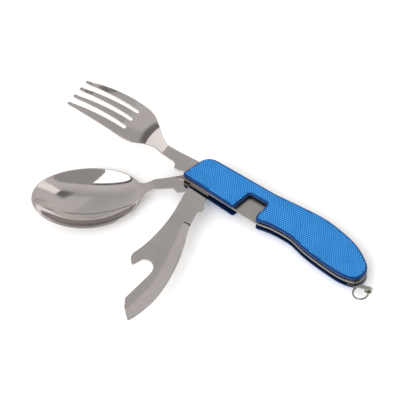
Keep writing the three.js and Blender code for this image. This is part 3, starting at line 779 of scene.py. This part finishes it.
def knife():
    line = [(36, -7.2)]
    line += bezier((36, -7.2), (48, -9.2), (57, -13.8))
    line += bezier((57, -13.8), (60.5, -15.0), (63.9, -11.4))
    line += bezier((63.9, -11.4), (61.4, -9.2), (59.0, -8.2))
    line += bezier((59.0, -8.2), (56.6, -5.0), (58.4, -0.6), (62.4, -0.3), steps=14)
    line += bezier((62.4, -0.3), (64.5, -0.4), (67, -1.1))
    line += [(83.2, -5.7), (88.0, -3.9)]
    line += bezier((88.0, -3.9), (91.6, -1.5), (94.8, 1.5))
    line += bezier((94.8, 1.5), (90, 5.0), (80, 8.0))
    line += bezier((80, 8.0), (70, 10.6), (52, 10.9), (36, 6.3), steps=24)
    line += [(31, 5.2), (21.4, 5.0)]
    line += bezier((21.4, 5.0), (20.2, 5.2), (19.6, 7.0))
    line += [(17.6, 7.0), (14.4, 5.7), (0, 5.7)]
    line += arc((0, 0), 5.7, 90, 270, 20)[1:]
    line += [(14, -6.1), (24, -6.0)]
    line += bezier((24, -6.0), (30, -6.2), (36, -7.2))
    outline = resampled(line, 1.0)
    cutting_edge = curve_through([
        (28, 5.2), (36, 6.3), (44, 8.1), (54, 9.3), (64, 9.7), (74, 9.2), (80, 8.0),
        (88, 5.7), (94.8, 1.5),
    ])
    grind_line = curve_through([
        (28, 1.2), (44, 2.6), (61, 3.3), (71, 2.7), (80, 0.6), (88.6, -2.2), (94.8, -4.4),
    ])

    score_x, score_start = 29.3, 1.0        # the scored line where the grinding begins
    half_thickness, ground_away, score_depth = 0.6, 0.48, 0.07

    def half(x, y):
        span = np.maximum(cutting_edge(x) - grind_line(x), 1.0)
        t = np.clip((y - grind_line(x)) / span, 0, 1)
        begin = np.clip((x - 29.0) / 1.2, 0, 1)
        scored = score_depth * np.exp(-((x - score_x) / 0.28) ** 2) * (y > score_start)
        return half_thickness - ground_away * t * begin - scored

    extra = []
    for x in np.linspace(31, 90, 70):
        y = float(grind_line(x))
        extra += [(x, y - 0.12), (x + 0.4, y + 0.12)]
    for y in np.linspace(0.6, 5.0, 9):
        extra += [(x, y) for x in (28.7, 29.0, 29.3, 29.6, 29.9, 30.3)]
    blade = sheet("picnic_knife", [outline, PIVOT_HOLE], placed(KNIFE_ANGLE, KNIFE_Z),
                  [tool_steel, painted_shade_steel], half=half, edge=0.15, spacing=1.4, extra=extra)
    back = placed(KNIFE_ANGLE, KNIFE_Z).inverted()
    # The faces along the scored line take the near-black steel: painted shade in the groove.
    for face in blade.data.polygons:
        x, y, _ = back @ face.center
        face.material_index = int(abs(x - score_x) < 0.3 and y > score_start)
    return blade


for obj, body, node in (
    (fork(), "fork_body", "fork"),
    (spoon(), "spoon_body", "spoon"),
    (knife(), "knife_body", "knife"),
):
    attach(obj, body)
    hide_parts(node)

# ---------------------------------------------------------------- CAD pieces that stay

# The CAD scale pieces take the scale's painted-shade edge blue.
finishes = {"liner": liner_steel, "hardware": hardware_steel, "washer": washer_brass,
            "scale": blue_edge_painted_shade, "tool": tool_steel}
for part in frame["record"]["subparts"]:
    node = frame["nodes"][part["node"]]
    node.data.materials.clear()
    # Spacers sit in the shaded gap between the plates, so they take the near-black steel as painted
    # shade.
    dark = part["node"].endswith("_spacer")
    node.data.materials.append(painted_shade_steel if dark else finishes[part["material_slot"]])

# ---------------------------------------------------------------- floor, light and camera

floor_material, nodes, links, shader = new_material("floor")
shader.inputs["Roughness"].default_value = 0.9
shader.inputs["Specular IOR Level"].default_value = 0.1
paper = add_noise(nodes, links, 30.0)
links.new(mixed(nodes, links, paper.outputs["Fac"], (0.93, 0.93, 0.93), (0.94, 0.94, 0.94)),
          shader.inputs["Base Color"])
FLOOR_REACH = 3
corners = [(x * FLOOR_REACH, y * FLOOR_REACH, 0) for x, y in ((-1, -1), (1, -1), (1, 1), (-1, 1))]
floor = make_object("floor", corners, [(0, 1, 2, 3)], None, Matrix.Identity(4), floor_material)

# The studio's walls, as brightness by direction in the handle's frame. Their borders are what
# the polished tools mirror.
world = bpy.data.worlds.new("studio")
bpy.context.scene.world = world
world.use_nodes = True
nodes, links = world.node_tree.nodes, world.node_tree.links
direction = nodes.new("ShaderNodeTexCoord").outputs["Generated"]


def toward(axis):
    """How far the direction points along an axis given in the handle's frame."""
    node = nodes.new("ShaderNodeVectorMath")
    node.operation = "DOT_PRODUCT"
    node.inputs[1].default_value = HANDLE.to_3x3() @ Vector(axis)
    links.new(direction, node.inputs[0])
    return node.outputs["Value"]


def step_between(value, low, high):
    """0 where the value is at low, 1 where it is at high, smooth between them."""
    node = nodes.new("ShaderNodeMapRange")
    node.interpolation_type = "SMOOTHSTEP"
    ends = sorted((low, high))
    node.inputs["From Min"].default_value, node.inputs["From Max"].default_value = ends
    node.inputs["To Min"].default_value, node.inputs["To Max"].default_value = (
        (0, 1) if low < high else (1, 0))
    links.new(value, node.inputs["Value"])
    return node.outputs["Result"]


def product(first, second):
    node = nodes.new("ShaderNodeMath")
    node.operation = "MULTIPLY"
    links.new(first, node.inputs[0])
    links.new(second, node.inputs[1])
    return node.outputs["Value"]


def painted(current, target, *masks):
    """The current brightness with the target laid over it where every mask is 1."""
    mask = masks[0]
    for other in masks[1:]:
        mask = product(mask, other)
    node = nodes.new("ShaderNodeMix")
    node.data_type = "FLOAT"
    links.new(mask, node.inputs["Factor"])
    links.new(current, node.inputs["A"])
    node.inputs["B"].default_value = target
    return node.outputs["Result"]


# Brightness of the walls and of what stands before them. 1 makes a white floor white.
WALL_LOW, WALL_HIGH = 0.80, 0.62
OVERHEAD_GLOW, SIDE_GLOW = 0.88, 0.80
SCREEN, SCREEN_BORDER, WINDOW = 0.50, 0.12, 2.6
DOOR, DARK_STRIP = 1.45, 0.24
RAIL, FINE_RAIL = 0.22, 0.3

side_x, side_y, side_z = toward((1, 0, 0)), toward((0, 1, 0)), toward((0, 0, 1))
front_line = toward((-0.41, 0.91, 0))
rail_line = toward((0.549, -0.835, 0.044))

walls = nodes.new("ShaderNodeMapRange")
walls.inputs["From Min"].default_value, walls.inputs["From Max"].default_value = 0.1, 1.0
walls.inputs["To Min"].default_value, walls.inputs["To Max"].default_value = WALL_LOW, WALL_HIGH
links.new(side_z, walls.inputs["Value"])
brightness = walls.outputs["Result"]
brightness = painted(brightness, OVERHEAD_GLOW, step_between(front_line, 0.25, -0.2))
brightness = painted(brightness, SIDE_GLOW, step_between(side_x, -0.25, -0.19),
                     step_between(front_line, 0.25, 0.35))
# a screen behind the camera, with a dark border, and the window in it
brightness = painted(brightness, SCREEN, step_between(front_line, -0.24, -0.30))
brightness = painted(brightness, SCREEN_BORDER, step_between(front_line, -0.27, -0.29),
                     step_between(front_line, -0.37, -0.34), step_between(side_x, 0.2, 0.0))
brightness = painted(brightness, WINDOW, step_between(side_x, 0.16, 0.14),
                     step_between(side_x, -0.75, -0.70), step_between(front_line, -0.36, -0.39),
                     step_between(side_z, 0.15, 0.2))
# the bright door by the tail and the dark strip beside it
brightness = painted(brightness, DOOR, step_between(side_x, 0.46, 0.48),
                     step_between(side_x, 0.90, 0.80), step_between(side_y, 0.28, 0.36),
                     step_between(side_y, 0.60, 0.50), step_between(side_z, 0.2, 0.25))
brightness = painted(brightness, DARK_STRIP, step_between(side_x, 0.10, 0.26),
                     step_between(side_x, 0.46, 0.44), step_between(side_y, 0.2, 0.36),
                     step_between(side_y, 0.62, 0.46))
# a dark rail across the far wall, and two finer ones beyond its end: (near, far, shade, end)
rails = (
    (-0.765, -0.805, RAIL, (0.2, 0.1)),
    (-0.85, -0.87, FINE_RAIL, (-0.28, -0.18)),
    (-0.91, -0.93, FINE_RAIL, (-0.28, -0.18)),
)
for near, far, shade, end in rails:
    brightness = painted(brightness, shade, step_between(rail_line, near, near - 0.012),
                         step_between(rail_line, far, far + 0.012), step_between(side_x, *end),
                         step_between(side_z, 0.05, 0.1))
tint = nodes.new("ShaderNodeCombineColor")
for channel, share in (("Red", 1.0), ("Green", 0.985), ("Blue", 0.97)):
    scaled = nodes.new("ShaderNodeMath")
    scaled.operation = "MULTIPLY"
    scaled.inputs[1].default_value = share
    links.new(brightness, scaled.inputs[0])
    links.new(scaled.outputs["Value"], tint.inputs[channel])
links.new(tint.outputs["Color"], nodes["Background"].inputs["Color"])
nodes["Background"].inputs["Strength"].default_value = 1.0


def softbox(name, place, target, size, power):
    """A large area light. place and target are metres in the row frame."""
    data = bpy.data.lights.new(name, "AREA")
    data.shape = "RECTANGLE"
    data.size, data.size_y = size
    data.energy = power
    light = bpy.data.objects.new(name, data)
    light.location = place
    aim = Vector(target) - Vector(place)
    light.rotation_mode = "QUATERNION"
    light.rotation_quaternion = aim.to_track_quat("-Z", "Y")
    light.visible_glossy = False        # the walls alone make the reflections
    bpy.context.collection.objects.link(light)


softbox("overhead", (0.0, 0.05, 1.0), (0, 0, 0), (1.8, 1.6), 9)
softbox("front", (0.1, -0.9, 0.5), (0, 0, 0), (1.2, 0.8), 3)

VIEW_AZIMUTH, VIEW_ELEVATION = math.radians(33.8), math.radians(58.5)
VIEW = Vector((
    math.sin(VIEW_AZIMUTH) * math.cos(VIEW_ELEVATION),
    -math.cos(VIEW_AZIMUTH) * math.cos(VIEW_ELEVATION),
    math.sin(VIEW_ELEVATION),
))
AIM = Vector((6.6, -15.8, 10.1))        # millimetres in the handle's frame
DISTANCE = 3.0
LENS = 522
camera_data = bpy.data.cameras.new("camera")
camera_data.sensor_width = 36
camera_data.lens = LENS
camera = bpy.data.objects.new("camera", camera_data)
bpy.context.collection.objects.link(camera)
aim = HANDLE @ (AIM * MM)
back = (HANDLE.to_3x3() @ VIEW).normalized()
right = UP.cross(back).normalized()
turn = Matrix((right, back.cross(right), back)).transposed()
camera.matrix_world = Matrix.Translation(aim + back * DISTANCE) @ turn.to_4x4()
camera_data.clip_end = 20
bpy.context.scene.camera = camera
bpy.context.scene.view_settings.view_transform = "Standard"
